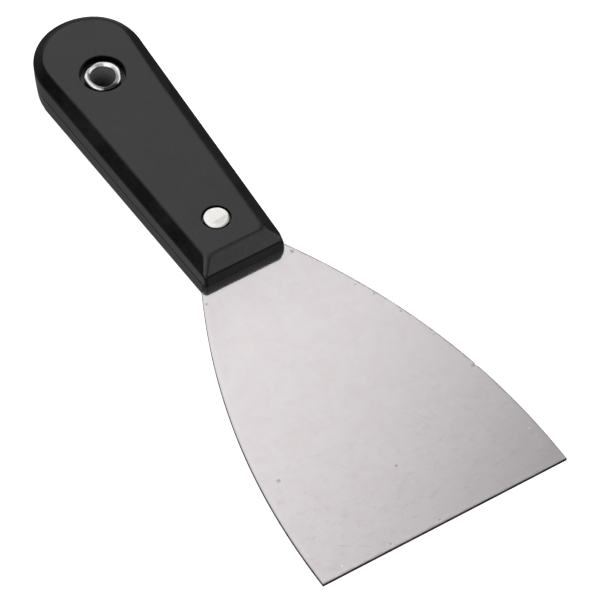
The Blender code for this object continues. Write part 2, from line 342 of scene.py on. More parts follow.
def finished(name, mesh, looks, node_name, sharp_degrees=30.0):
    """Piece made from a mesh; it rides the one body and stands for a CAD node."""
    piece = bpy.data.objects.new(name, mesh)
    bpy.context.scene.collection.objects.link(piece)
    for look in looks:
        mesh.materials.append(look)
    mesh.shade_smooth()
    mesh.set_sharp_from_angle(angle=math.radians(sharp_degrees))
    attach(piece, "root")
    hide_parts(node_name)
    return piece


def smooth(value, start, end):
    """Smooth step from 0 at start to 1 at end."""
    share = min(max((value - start) / (end - start), 0.0), 1.0)
    return share * share * (3.0 - 2.0 * share)


def rounded(corners, steps=6):
    """Polyline through (x, y, radius) corners, each turned into an arc of its radius."""
    path = []
    last = len(corners) - 1
    for index, (x, y, radius) in enumerate(corners):
        here = Vector((x, y))
        if radius == 0.0 or index in (0, last):
            path.append((x, y))
            continue
        before = (Vector(corners[index - 1][:2]) - here).normalized()
        after = (Vector(corners[index + 1][:2]) - here).normalized()
        half = before.angle(after) / 2
        middle = here + (before + after).normalized() * (radius / math.sin(half))
        start = here + before * (radius / math.tan(half)) - middle
        end = here + after * (radius / math.tan(half)) - middle
        turn = math.atan2(start.cross(end), start.dot(end))
        for step in range(steps + 1):
            angle = math.atan2(start.y, start.x) + turn * step / steps
            path.append((middle.x + radius * math.cos(angle), middle.y + radius * math.sin(angle)))
    return path


def lathe(profile, center_y, steps=128, wobble=None):
    """Closed solid from a closed (radius, z) profile turned about an upright axis."""
    shape = bmesh.new()
    rings = []
    for radius, z in profile:
        if radius == 0.0:
            rings.append([shape.verts.new((0.0, center_y, z))])
            continue
        ring = []
        for step in range(steps):
            turn = 2 * math.pi * step / steps
            grow, lift = wobble(radius, z, turn) if wobble else (0.0, 0.0)
            reach = radius + grow
            ring.append(shape.verts.new(
                (reach * math.cos(turn), center_y + reach * math.sin(turn), z + lift)))
        rings.append(ring)
    for index, ring in enumerate(rings):
        following = rings[(index + 1) % len(rings)]
        if len(ring) == 1 and len(following) == 1:
            continue
        for step in range(steps):
            corners = [ring[step % len(ring)], ring[(step + 1) % len(ring)],
                       following[(step + 1) % len(following)], following[step % len(following)]]
            unique = list(dict.fromkeys(corners))
            if len(unique) > 2:
                shape.faces.new(unique)
    bmesh.ops.recalc_face_normals(shape, faces=shape.faces)
    return shape


def to_mesh(shape, name):
    """Turn a bmesh into a mesh datablock."""
    mesh = bpy.data.meshes.new(name)
    shape.to_mesh(mesh)
    shape.free()
    return mesh


def carved(mesh, cutters):
    """New mesh: a mesh with cutter meshes subtracted from it."""
    guides = [bpy.data.objects.new("guide", each) for each in [mesh, *cutters]]
    for guide in guides:
        bpy.context.scene.collection.objects.link(guide)
    for guide in guides[1:]:
        boolean = guides[0].modifiers.new("cut", "BOOLEAN")
        boolean.operation = "DIFFERENCE"
        boolean.solver = "EXACT"
        boolean.object = guide
    bpy.context.view_layer.update()
    evaluated = guides[0].evaluated_get(bpy.context.evaluated_depsgraph_get())
    result = bpy.data.meshes.new_from_object(evaluated)
    for guide in guides:
        bpy.data.objects.remove(guide, do_unlink=True)
    return result


def flare_half_width(from_front):
    """Half width of the flared blade; from_front is negative toward the tip."""
    along = 1.0 + from_front / BLADE_REACH
    return TIP_HALF_WIDTH - (TIP_HALF_WIDTH - ROOT_HALF_WIDTH) * along ** FLARE_POWER


def steel_half_width(from_front):
    """Half width of blade, shoulder and tang in one."""
    flare = flare_half_width(min(from_front, SHOULDER_END))
    blend = smooth(from_front, SHOULDER_START, SHOULDER_END)
    return flare * (1.0 - blend) + TANG_HALF_WIDTH * blend


def steel_outline(start, stations, extra=0.0, turn_steps=48):
    """Outline of blade and tang from a start, grown sideways by a clearance."""
    length = SHOULDER_END - start
    along = [start + length * step / stations for step in range(stations + 1)]
    side = [(steel_half_width(s) + extra, FRONT_Y + s) for s in along]
    radius = TANG_HALF_WIDTH + extra
    turns = [math.pi * step / turn_steps for step in range(1, turn_steps)]
    end = [(radius * math.cos(turn), HANG_Y + radius * math.sin(turn)) for turn in turns]
    side.append((radius, HANG_Y))
    return side + end + [(-x, y) for x, y in reversed(side)]


def circle(center_y, radius, steps=64):
    """Points of a circle on the centre line."""
    turns = [2 * math.pi * step / steps for step in range(steps)]
    return [(radius * math.cos(turn), center_y + radius * math.sin(turn)) for turn in turns]


def plate(outlines, thickness, edge_round=0.0):
    """Flat plate about the middle plane, with holes and softly rounded edges."""
    curve = bpy.data.curves.new("plate", "CURVE")
    curve.dimensions = "2D"
    curve.fill_mode = "BOTH"
    curve.extrude = thickness / 2 - edge_round
    curve.bevel_depth = edge_round
    curve.bevel_resolution = 4
    curve.offset = -edge_round
    for outline in outlines:
        spline = curve.splines.new("POLY")
        spline.points.add(len(outline) - 1)
        for point, (x, y) in zip(spline.points, outline):
            point.co = (x, y, 0.0, 1.0)
        spline.use_cyclic_u = True
    guide = bpy.data.objects.new("plate", curve)
    bpy.context.scene.collection.objects.link(guide)
    bpy.context.view_layer.update()
    evaluated = guide.evaluated_get(bpy.context.evaluated_depsgraph_get())
    mesh = bpy.data.meshes.new_from_object(evaluated)
    bpy.data.objects.remove(guide, do_unlink=True)
    shape = bmesh.new()
    shape.from_mesh(mesh)
    bmesh.ops.remove_doubles(shape, verts=shape.verts, dist=0.001 * MM)
    bmesh.ops.translate(shape, vec=(0.0, 0.0, MID_Z), verts=shape.verts)
    bmesh.ops.recalc_face_normals(shape, faces=shape.faces)
    return shape


def nicked(x, y):
    """Point of the blade's outline, moved in where the right edge has its nick."""
    if x > 0.0 and y < FRONT_Y:
        x -= NICK_DEPTH * math.exp(-((y - FRONT_Y - NICK_PLACE) / NICK_WIDTH) ** 2)
    return x, y


def make_blade():
    """Sheet-steel blade with its shoulders and tang."""
    outlines = [
        [nicked(x, y) for x, y in steel_outline(-BLADE_REACH, BLADE_STATIONS)],
        circle(RIVET_Y, RIVET_BORE_RADIUS),
        circle(HANG_Y, TUBE_OUTER_RADIUS + 2.0 * FIT_GAP),
    ]
    shape = plate(outlines, THICKNESS, SHEAR_ROUND)
    for face in shape.faces:
        face.material_index = 0 if abs(face.normal.z) > FLAT_NORMAL else 1
    mesh = to_mesh(shape, "steel_blade")
    finished("steel_blade", mesh, [blade_steel(), sheared_edge()], "blade")
    shape = bmesh.new()
    shape.from_mesh(mesh)
    for edge in shape.edges:
        if len({face.material_index for face in edge.link_faces}) > 1:
            edge.smooth = False
    shape.to_mesh(mesh)
    shape.free()


def corner_radii(travel, height, right):
    """Plan radii of a front corner at one level of a scale: along the front and along the side.

    The right corner opens out over the upper half of the wall, and both end alike on the top.
    """
    if height < SLOPE_START:
        if not right:
            return WALL_CORNER, WALL_CORNER
        up = smooth(height, 0.55 * WALL_TOP, WALL_TOP)
        return (WALL_CORNER + (RIGHT_CORNER - WALL_CORNER) * up,
                WALL_CORNER + (ROUND_CORNER - WALL_CORNER) * up)
    across = min(travel / CHAMFER_WIDTH, 1.0)
    front, start = (RIGHT_CORNER, ROUND_CORNER) if right else (WALL_CORNER, WALL_CORNER)
    return front + (TOP_CORNER - front) * across, start + (TOP_CORNER - start) * across


def butt_change(turn, height, side):
    """Outward shift of the butt, where turn runs from 0 on the right to pi on the left.

    It leans in toward the back and bulges a little on the right.
    """
    around = smooth(min(turn, math.pi - turn), -0.25, 0.5)
    depth = (WALL_TOP - side * height) / (2.0 * WALL_TOP)
    lean = -BUTT_LEAN * min(max(depth, 0.0), 1.0) * (0.25 + 0.75 * around)
    bulge = BUTT_BULGE * math.exp(-((turn - 0.75) / 0.5) ** 2)
    return lean * smooth(min(turn, math.pi - turn), -0.5, 0.3) + bulge


def scale_loop(travel, height, side):
    """Closed loop around a scale; travel is the distance in from its widest outline."""
    sloped = height > SLOPE_START
    front = travel
    if sloped:
        on_slope = max(TOP_EDGE * (height - WALL_TOP) / CHAMFER_HEIGHT, 0.0)
        front = FRONT_CHAMFER_SHARE * (travel + FRONT_CRISPNESS * (on_slope - travel))
    butt_center = BUTT_Y - BUTT_RADIUS
    butt_start = butt_center - BUTT_RADIUS * math.sin(LEAN)

    def half_width(y):
        share = 1.0
        if sloped:
            share -= (1.0 - REAR_SIDE_CHAMFER_SHARE) * smooth(y, REAR_SIDE_START, REAR_SIDE_END)
        return FRONT_HALF_WIDTH + SIDE_TAPER * (y - FRONT_Y) - travel * share / math.cos(LEAN)

    def half_loop(right):
        along_front, along_side = corner_radii(travel, height, right)
        corner_y = FRONT_Y + front + along_side
        corner_x = half_width(corner_y) - along_front / math.cos(LEAN)
        half = [(corner_x * step / FRONT_STEPS, FRONT_Y + front) for step in range(FRONT_STEPS)]
        for step in range(CORNER_STEPS + 1):
            turn = -math.pi / 2 + (math.pi / 2 - LEAN) * step / CORNER_STEPS
            half.append((corner_x + along_front * math.cos(turn),
                         corner_y + along_side * math.sin(turn)))
        start_y = half[-1][1]
        for step in range(1, SIDE_STEPS):
            y = start_y + (butt_start - start_y) * step / SIDE_STEPS
            half.append((half_width(y), y))
        return half

    mirrored = [(-x, y) for x, y in reversed(half_loop(False)[1:])]
    butt = []
    for step in range(BUTT_STEPS + 1):
        turn = -LEAN + (math.pi + 2.0 * LEAN) * step / BUTT_STEPS
        share = 1.0
        if sloped:
            around = smooth(min(turn, math.pi - turn), -LEAN, 0.45)
            share = REAR_SIDE_CHAMFER_SHARE
            share += (BUTT_CHAMFER_SHARE - REAR_SIDE_CHAMFER_SHARE) * around
        reach = BUTT_RADIUS - travel * share + butt_change(turn, height, side)
        butt.append((reach * math.cos(turn), butt_center + reach * math.sin(turn)))
    skew = HANDLE_SKEW * smooth(height, 0.0, WALL_TOP) if side > 0 else 0.0
    shift = TOP_SHIFT * smooth(height, WALL_TOP, HALF_HANDLE) if side > 0 else 0.0
    middle = (FRONT_Y + BUTT_Y) / 2
    return [(x + shift + skew * (y - middle), y, MID_Z + side * height)
            for x, y in half_loop(True) + butt + mirrored]


def scale_section():
    """Section of one scale as (travel, height over the middle plane), parting face to top."""
    wall = [(0.0, WALL_TOP * step / WALL_STEPS, 0.0) for step in range(1, WALL_STEPS)]
    return rounded([
        (PARTING_DEPTH, PARTING_GAP / 2, 0.0),
        (0.0, PARTING_GAP / 2, PARTING_ROUND),
        *wall,
        (0.0, WALL_TOP, WALL_ROUND),
        (TOP_EDGE, HALF_HANDLE, TOP_ROUND),
        (TOP_EDGE + TOP_RIM, HALF_HANDLE, 0.0),
    ], steps=8)


def scale_shell(side):
    """Undrilled scale; side is +1 in front and -1 at the back."""
    shape = bmesh.new()
    rings = []
    for travel, height in scale_section():
        loop = scale_loop(travel, height, side)
        rings.append([shape.verts.new(point) for point in loop])
    for low, high in zip(rings, rings[1:]):
        for step, vert in enumerate(low):
            after = (step + 1) % len(low)
            shape.faces.new((vert, low[after], high[after], high[step]))
    shape.faces.new(rings[0])
    shape.faces.new(rings[-1])
    bmesh.ops.recalc_face_normals(shape, faces=shape.faces)
    return to_mesh(shape, "scale_shell")


def hole_cutter(center_y, radius, floor, bore, side, lip, trough=0.0):
    """Turned cutter for a stepped hole with a soft lip; heights run from the middle plane."""
    top = HALF_HANDLE
    outer = radius + CUTTER_BRIM
    seat = [(bore, floor, 0.0)]
    if trough:
        seat += [(TROUGH_TOP_RADIUS, floor, 0.0),
                 (TROUGH_FOOT_RADIUS, floor - trough, TROUGH_ROUND)]
    section = rounded([
        (0.0, -CUTTER_REACH, 0.0),
        (bore, -CUTTER_REACH, 0.0),
        *seat,
        (radius - HOLE_DRAFT, floor - trough, FLOOR_ROUND),
        (radius, top, lip),
        (outer, top, 0.0),
        (outer, top + CUTTER_REACH, 0.0),
        (0.0, top + CUTTER_REACH, 0.0),
    ])
    profile = [(r, MID_Z + side * z) for r, z in section]
    return to_mesh(lathe(profile, center_y), "hole_cutter")


def make_scale(name, side, node_name):
    """One moulded handle scale; only the front one has a trough round its eyelet."""
    tang = steel_outline(POCKET_START, POCKET_STATIONS, FIT_GAP)
    pocket = to_mesh(plate([tang], THICKNESS + POCKET_GAP), "pocket")
    rivet_floor = HALF_HANDLE - RIVET_RECESS_DEPTH
    hang_floor = HALF_HANDLE - COUNTERBORE_DEPTH
    tube_bore = TUBE_OUTER_RADIUS + FIT_GAP
    trough = TROUGH_DEPTH if side > 0 else 0.0
    cutters = [
        pocket,
        hole_cutter(RIVET_Y, RIVET_RECESS_RADIUS, rivet_floor, RIVET_BORE_RADIUS, side,
                    RIVET_RECESS_LIP),
        hole_cutter(HANG_Y, COUNTERBORE_RADIUS, hang_floor, tube_bore, side,
                    COUNTERBORE_LIP, trough),
    ]
    mesh = carved(scale_shell(side), cutters)
    piece = finished(name, mesh, [moulded_plastic()], node_name,
                     sharp_degrees=35.0)
    weighted = piece.modifiers.new("flat_faces_stay_flat", "WEIGHTED_NORMAL")
    weighted.mode = "FACE_AREA"
    weighted.weight = 100
    weighted.keep_sharp = True


# Marks on the blade in millimetres: across, and along from the handle's front edge.
PITS = [((-30.1, -64.8), 0.85), ((-1.2, -77.3), 0.65), ((13.6, -1.9), 0.9), ((-15.4, -4.9), 0.6),
        ((24.6, -26.0), 0.4), ((27.6, -34.7), 0.45), ((30.8, -46.2), 0.3), ((34.0, -60.4), 0.8),
        ((-16.1, -97.6), 0.5), ((-1.0, -97.9), 0.4), ((22.0, -20.5), 0.3)]
DARK_STROKES = [((-27.8, -91.0), (-25.2, -92.7), 0.32), ((-23.3, -93.8), (-20.9, -95.6), 0.30),
                ((12.2, -65.2), (14.8, -69.6), 0.16), ((12.1, -67.9), (13.4, -71.8), 0.14),
                ((9.6, -63.2), (11.4, -66.6), 0.12), ((-18.6, -88.8), (-17.2, -91.2), 0.2),
                ((15.8, -66.3), (16.6, -69.4), 0.12)]
BRIGHT_SPECKS = [((-30.7, -96.6), 0.45), ((35.1, -85.5), 0.4), ((35.4, -88.4), 0.3)]


def place(spot):
    """Metre position of a mark given in millimetres from the handle's front edge."""
    return spot[0] * MM, FRONT_Y + spot[1] * MM


def blade_steel():
    """Satin ground steel: handling marks, pits, short scratches; painted shade by the handle and
    left edge.
    """
    s = Shade("blade_steel")
    along = s.math("ADD", s.math("DIVIDE", s.math("SUBTRACT", s.y, FRONT_Y), BLADE_REACH), 1.0)
    flare = s.math("POWER", s.math("MAXIMUM", along, 0.0), FLARE_POWER)
    half = s.math("MULTIPLY_ADD", flare, ROOT_HALF_WIDTH - TIP_HALF_WIDTH, TIP_HALF_WIDTH)
    from_right = s.math("SUBTRACT", half, s.x)
    from_left = s.math("ADD", half, s.x)
    from_tip = s.math("SUBTRACT", s.y, TIP_Y)

    clouds = s.remap(s.noise(7.0 * MM, 4.0, 0.62, twist=0.6), 0.3, 0.7)
    blots = s.remap(s.noise(2.2 * MM, 4.0, 0.7, (1.3, 0.9, 1.0), 0.31, 0.5), 0.34, 0.66)
    grain = s.noise(0.55 * MM, 2.0, 0.5, (5.0, 0.6, 1.0), 0.07)
    toward_tip = s.remap(s.y, TIP_Y + 60.0 * MM, TIP_Y + 8.0 * MM)
    stains = s.product(s.remap(s.noise(3.0 * MM, 5.0, 0.75, (1.3, 0.9, 1.0), 0.53, 0.4), 0.5, 0.7),
                       s.math("MULTIPLY_ADD", toward_tip, 0.8, 0.2))
    pits = s.most(*[s.streak(place(spot), place(spot), size * MM) for spot, size in PITS],
                  s.specks(7.0 * MM, 0.035, 0.12, 0.4))
    strokes = s.product(s.most(*[s.streak(place(start), place(end), width * MM)
                                 for start, end, width in DARK_STROKES]),
                        s.remap(s.noise(0.6 * MM, 2.0, 0.6, shift=0.35), 0.30, 0.62))
    fine = s.product(s.remap(s.noise(0.9 * MM, 1.0, 0.5, (14.0, 0.22, 1.0), 0.91), 0.70, 0.76),
                     s.remap(s.noise(11.0 * MM, 2.0, 0.5, shift=0.17), 0.48, 0.6))
    bright = s.most(*[s.streak(place(spot), place(spot), size * MM)
                      for spot, size in BRIGHT_SPECKS],
                    s.specks(9.0 * MM, 0.02, 0.10, 0.77))
    patch = s.streak(place((-8.0, -15.0)), place((-11.0, -23.0)), 8.0 * MM)

    wander = s.math("MULTIPLY_ADD", s.noise(3.0 * MM, 4.0, 0.7, shift=0.23), 1.6 * MM, -0.8 * MM)
    nearest = s.math("MINIMUM", from_left, from_tip)
    rim = s.product(s.remap(s.math("ADD", nearest, wander), 2.4 * MM, 0.9 * MM),
                    s.remap(nearest, 0.1 * MM, 0.5 * MM))
    soil = s.remap(s.math("ADD", s.math("MINIMUM", from_right, from_tip), wander),
                   0.75 * MM, 0.15 * MM)

    # Painted shade: the top face is darker within about 26 mm of the handle's front.
    painted_handle_shade = s.remap(s.y, FRONT_Y - 26.0 * MM, FRONT_Y - 4.0 * MM)
    # Painted shade: a dark band along the left edge, fading in from 20 to 34 mm in front of the
    # handle.
    painted_edge_shade = s.product(s.remap(from_left, 0.55 * MM, 0.25 * MM),
                          s.remap(s.y, FRONT_Y - 20.0 * MM, FRONT_Y - 34.0 * MM))

    level = s.total(0.966, (clouds, 0.04), (blots, 0.022), (painted_edge_shade, -0.20),
                    (painted_handle_shade, -0.055), (grain, 0.02), (rim, 0.035), (patch, 0.022),
                    (stains, -0.07), (strokes, -0.15), (fine, -0.03), (soil, -0.28),
                    (pits, -0.16), (bright, 0.35))
    tint = s.blend(clouds, (0.697, 0.645, 0.660), (0.684, 0.649, 0.657))
    s.set(Base_Color=s.shaded(tint, level), Metallic=1.0, Coat_IOR=1.8, Coat_Roughness=0.5,
          Coat_Weight=s.total(0.86, (stains, 0.14), (clouds, -0.16)),
          Roughness=s.total(0.098, (blots, 0.03), (stains, 0.06), (pits, 0.3), (soil, 0.2)))
    waves = s.noise(9.0 * MM, 1.0, 0.4, shift=0.61)
    relief = s.total((waves, 3.5), (grain, 0.5), (fine, -0.4), (strokes, -1.2), (pits, -4.0))
    s.bump(relief, 0.004 * MM)
    return s.material


def sheared_edge():
    """Dark sheared edge of the sheet: dragged burnish, torn grain and soil."""
    s = Shade("sheared_edge")
    height = s.math("SUBTRACT", s.z, MID_Z)
    drag = s.noise(0.22 * MM, 3.0, 0.6, (1.0, 1.0, 7.0), 0.11)
    torn = s.remap(s.noise(0.5 * MM, 3.0, 0.7, (1.6, 1.6, 0.5), 0.43), 0.42, 0.62)
    soil = s.remap(s.noise(5.0 * MM, 3.0, 0.6, shift=0.29), 0.35, 0.65)
    burnish = s.remap(height, 0.05 * MM, 0.30 * MM)
    level = s.total(0.55, (drag, 0.45), (burnish, 0.35), (torn, -0.25), (soil, -0.25))
    tint = s.blend(soil, (0.34, 0.33, 0.33), (0.19, 0.185, 0.19))
    s.set(Base_Color=s.shaded(tint, level), Metallic=1.0,
          Roughness=s.total(0.34, (torn, 0.2), (soil, 0.1)))
    s.bump(s.total(drag, (torn, -0.7)), 0.03 * MM)
    return s.material


def moulded_plastic():
    """Black moulded plastic: fine mould grain, cloudy gloss, worn edges and a few dust specks."""
    s = Shade("moulded_plastic")
    height = s.math("ABSOLUTE", s.math("SUBTRACT", s.z, MID_Z))
    clouds = s.remap(s.noise(12.0 * MM, 5.0, 0.62, shift=0.37, twist=0.5), 0.34, 0.66)
    mottle = s.remap(s.noise(1.4 * MM, 3.0, 0.6, shift=0.71), 0.35, 0.65)
    grain = s.noise(0.16 * MM, 2.0, 0.6, shift=0.13)
    top_edge = s.product(s.remap(height, HALF_HANDLE - 0.16 * MM, HALF_HANDLE - 0.05 * MM),
                         s.remap(height, HALF_HANDLE - 0.004 * MM, HALF_HANDLE - 0.03 * MM))
    shoulder = s.product(s.remap(height, WALL_TOP - 0.2 * MM, WALL_TOP - 0.03 * MM),
                         s.remap(height, WALL_TOP + 0.22 * MM, WALL_TOP + 0.05 * MM))
    lip = s.remap(height, 0.32 * MM, 0.12 * MM)
    patchy = s.remap(s.noise(3.2 * MM, 4.0, 0.7, shift=0.19), 0.45, 0.65)
    wear = s.product(s.most(top_edge, shoulder, lip), s.math("MULTIPLY_ADD", patchy, 0.8, 0.2))
    scuffs = s.product(s.remap(s.noise(0.5 * MM, 2.0, 0.6, (0.35, 16.0, 1.0), 0.83), 0.64, 0.72),
                       s.remap(s.noise(8.0 * MM, 2.0, 0.5, shift=0.57), 0.47, 0.62))
    dust = s.most(s.specks(2.7 * MM, 0.055, 0.05, 0.21), s.specks(1.5 * MM, 0.05, 0.03, 0.67))
    black = s.blend(clouds, (0.0007, 0.0007, 0.0011), (0.0082, 0.0081, 0.0091))
    worn = s.blend(wear, black, (0.014, 0.014, 0.0155))
    scuffed = s.blend(s.math("MULTIPLY", scuffs, 0.5), worn, (0.03, 0.03, 0.032))
    s.set(Base_Color=s.blend(dust, scuffed, (0.32, 0.32, 0.33)), IOR=1.55,
          Roughness=s.total(0.235, (mottle, 0.035), (clouds, 0.03), (wear, -0.05),
                            (scuffs, 0.10), (dust, 0.4)))
    s.bump(s.total(grain, (mottle, 0.9), (scuffs, -0.5), (dust, 2.0)), 0.0035 * MM)
    return s.material


def turned_metal(name, center_y):
    """Start of a plated look: shade, distance from the axis, clouds, hair scratches and dents."""
    s = Shade(name)
    offset = s.vector("SUBTRACT", s.point, (0.0, center_y, 0.0))
    flat = s.vector("MULTIPLY", offset.outputs["Vector"], (1.0, 1.0, 0.0))
    axis = s.vector("LENGTH", flat.outputs["Vector"], None).outputs["Value"]
    clouds = s.remap(s.noise(2.2 * MM, 4.0, 0.65, shift=0.47, twist=0.7), 0.35, 0.68)
    hairs = s.remap(s.noise(0.35 * MM, 2.0, 0.6, (9.0, 0.35, 1.0), 0.59, 0.5), 0.60, 0.70)
    dents = s.noise(0.8 * MM, 3.0, 0.6, shift=0.27)
    return s, axis, clouds, hairs, dents


def rivet_nickel():
    """Nickel-plated rivet head with a faint smudge, hair scratches and a soiled rim."""
    s, axis, clouds, hairs, dents = turned_metal("rivet_nickel", RIVET_Y)
    smudge = s.product(s.remap(s.noise(3.6 * MM, 3.0, 0.6, (1.5, 0.8, 1.0), 0.05), 0.46, 0.62),
                       s.remap(axis, 3.6 * MM, 1.5 * MM))
    soil = s.remap(s.total(axis, (dents, 0.5 * MM)),
                   RIVET_RADIUS + 0.05 * MM, RIVET_RADIUS + 0.32 * MM)
    level = s.total(1.0, (smudge, -0.09), (clouds, -0.03), (hairs, -0.06), (soil, -0.35))
    tint = s.blend(clouds, (0.83, 0.825, 0.80), (0.80, 0.79, 0.765))
    s.set(Base_Color=s.shaded(tint, level), Metallic=1.0,
          Roughness=s.total(0.15, (smudge, 0.12), (clouds, 0.04), (soil, 0.2)))
    s.bump(s.total(dents, (hairs, -0.4)), 0.008 * MM)
    return s.material


def eyelet_nickel():
    """Nickel-plated eyelet and washer; painted shade darkens the bore and the rim's front."""
    s, axis, clouds, hairs, dents = turned_metal("eyelet_nickel", HANG_Y)
    depth = s.math("SUBTRACT", HALF_HANDLE + MID_Z, s.z)
    bore_wall = s.remap(axis, EYELET_BORE_RADIUS + 0.55 * MM, EYELET_BORE_RADIUS + 0.1 * MM)
    inside = s.product(bore_wall, s.remap(depth, 1.5 * MM, 2.9 * MM))
    specks = s.specks(1.3 * MM, 0.10, 0.25, 0.39)
    # Painted shade: deep down the bore the colour turns from dark grey to near black with depth.
    painted_bore_shade = s.product(inside, s.math("MULTIPLY_ADD", clouds, -0.12, 1.0))
    bore_shade_tone = s.blend(s.remap(depth, 4.5 * MM, 9.5 * MM), (0.42, 0.42, 0.43), (0.09, 0.09, 0.095))
    # Painted reflection: a dark stroke over the front of the rim stands for a dark reflection
    # there.
    painted_dark_stroke = s.streak((-1.6 * MM, HANG_Y - 4.7 * MM), (1.2 * MM, HANG_Y - 4.75 * MM), 1.7 * MM)
    painted_dark_reflection = s.product(painted_dark_stroke, s.remap(depth, 2.6 * MM, 2.0 * MM))
    level = s.total(1.0, (clouds, -0.05), (hairs, -0.08), (specks, -0.2))
    bright = s.shaded(s.blend(clouds, (0.88, 0.875, 0.86), (0.83, 0.825, 0.81)), level)
    plating_with_dark_reflection = s.blend(painted_dark_reflection, bright, (0.06, 0.06, 0.062))
    s.set(Base_Color=s.blend(painted_bore_shade, plating_with_dark_reflection, bore_shade_tone),
          Metallic=s.math("MULTIPLY_ADD", inside, -0.7, 1.0),
          Roughness=s.total(0.20, (clouds, 0.07), (inside, 0.3), (painted_dark_reflection, 0.25)))
    s.bump(s.total(dents, (hairs, -0.4)), 0.014 * MM)
    return s.material


def rivet_wobble(radius, z, turn):
    """Slightly uneven rim of a set rivet: (shift outward, lift)."""
    if radius < 0.5 * MM or abs(z - MID_Z) < HALF_HANDLE - 1.0 * MM:
        return 0.0, 0.0
    uneven = 0.6 * math.sin(3.0 * turn + 0.9) + 0.5 * math.sin(7.0 * turn + 2.0)
    outward = smooth(radius, 0.7 * RIVET_RADIUS, RIVET_RADIUS)
    return outward * uneven * RIM_UNEVENNESS, 0.0


def make_rivet(name, side, node_name):
    """Rivet half with a low head in one scale; the cap half is a tube."""
    top = HALF_HANDLE - RIVET_SINK
    under_head = top - RIVET_HEAD
    radius = RIVET_RADIUS
    crown = [(0.0, top), (radius * 0.4, top - 0.01 * MM), (radius * 0.8, top - 0.04 * MM)]
    rim = rounded([(radius * 0.85, top - 0.05 * MM, 0.0), (radius, top - 0.1 * MM, 0.25 * MM),
                   (radius, under_head, 0.0)])
    if side > 0:
        under = [(SHANK_RADIUS, under_head), (SHANK_RADIUS, -SHANK_REACH), (0.0, -SHANK_REACH)]
    else:
        tube_floor = under_head - TUBE_FLOOR
        under = [(TUBE_RADIUS, under_head), (TUBE_RADIUS, -TUBE_REACH),
                 (TUBE_BORE_RADIUS, -TUBE_REACH), (TUBE_BORE_RADIUS, tube_floor),
                 (0.0, tube_floor)]
    profile = [(r, MID_Z + side * z) for r, z in crown + rim + under]
    mesh = to_mesh(lathe(profile, RIVET_Y, wobble=rivet_wobble), name)
    finished(name, mesh, [rivet_nickel()], node_name)


def eyelet_wobble(radius, z, turn):
    """Uneven rim of the pressed eyelet, funnelled down in front: (shift outward, lift)."""
    if z < MID_Z + HALF_HANDLE - 2.6 * MM:
        return 0.0, 0.0
    outward = smooth(radius, EYELET_BORE_RADIUS + 0.2 * MM, EYELET_RADIUS - 0.2 * MM)
    turn = math.atan2(math.sin(turn), math.cos(turn))
    back = math.exp(-((turn - 1.75) / 0.5) ** 2)
    front = math.exp(-((turn + 1.65) / 0.75) ** 2)
    left = math.exp(-((abs(turn) - math.pi) / 0.8) ** 2)
    ripple = 0.05 * math.sin(5.0 * turn + 0.7) + 0.035 * math.sin(9.0 * turn + 2.1)
    grow = outward * (-0.32 * back + 0.10 * front + ripple) * MM
    inward = 1.0 - outward
    lift = (inward * (0.20 * left - 0.30 * front) - 0.12 * front - 0.08 * back + 0.5 * ripple) * MM
    return grow, lift


def make_eyelet():
    """Tube with a funnel-shaped rim in front and a rolled hem over the washer."""
    top = HALF_HANDLE - RIM_SINK
    bore = EYELET_BORE_RADIUS
    hem = HEM_SINK - HALF_HANDLE
    section = rounded([
        (bore, 0.0, 0.0),
        (bore, top - 1.3 * MM, 0.4 * MM),
        (bore - 0.12 * MM, top - 0.47 * MM, 0.2 * MM),
        (bore + 0.60 * MM, top - 0.21 * MM, 0.45 * MM),
        (EYELET_RADIUS - 0.30 * MM, top - 0.02 * MM, 0.5 * MM),
        (EYELET_RADIUS, top - 0.45 * MM, 0.25 * MM),
        (EYELET_RADIUS - 0.35 * MM, top - 0.75 * MM, 0.0),
        (TUBE_OUTER_RADIUS, top - 1.3 * MM, 0.0),
        (TUBE_OUTER_RADIUS, hem, 0.0),
        (HEM_RADIUS, hem, 0.2 * MM),
        (HEM_RADIUS, hem - HEM_THICKNESS, 0.2 * MM),
        (bore, hem - HEM_THICKNESS, 0.5 * MM),
        (bore, 0.0, 0.0),
    ], steps=8)[:-1]
    profile = [(r, MID_Z + z) for r, z in section]
    mesh = to_mesh(lathe(profile, HANG_Y, wobble=eyelet_wobble), "eyelet")
    finished("eyelet", mesh, [eyelet_nickel()], "eyelet_barrel")


def make_washer():
    """Flat washer behind the eyelet's rolled end."""
    low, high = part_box("eyelet_washer")
    outer = high.x
    inner = TUBE_OUTER_RADIUS + FIT_GAP
    section = rounded([
        (inner, high.z, 0.0), (outer, high.z, WASHER_ROUND), (outer, low.z, WASHER_ROUND),
        (inner, low.z, 0.0)])
    mesh = to_mesh(lathe(section, HANG_Y), "washer")
    finished("washer", mesh, [eyelet_nickel()], "eyelet_washer")


def make_stage():
    """Plain pale floor, clear from below so that the back of the knife can be seen."""
    bpy.ops.mesh.primitive_plane_add(size=FLOOR_SIZE, location=(0.0, 0.0, -FLOOR_GAP))
    floor = bpy.context.object
    floor.name = "floor"
    s = Shade("pale_floor")
    mottle = s.noise(0.35, 3.0, 0.5)
    below = s.nodes.new("ShaderNodeNewGeometry").outputs["Backfacing"]
    s.set(Base_Color=s.blend(mottle, (0.80, 0.80, 0.80), (0.82, 0.82, 0.82)), Roughness=0.9,
          Emission_Color=(1.0, 1.0, 1.0, 1.0), Emission_Strength=1.0,
          Alpha=s.math("SUBTRACT", 1.0, below))
    floor.data.materials.append(s.material)
    floor.visible_glossy = False
    floor.visible_diffuse = False


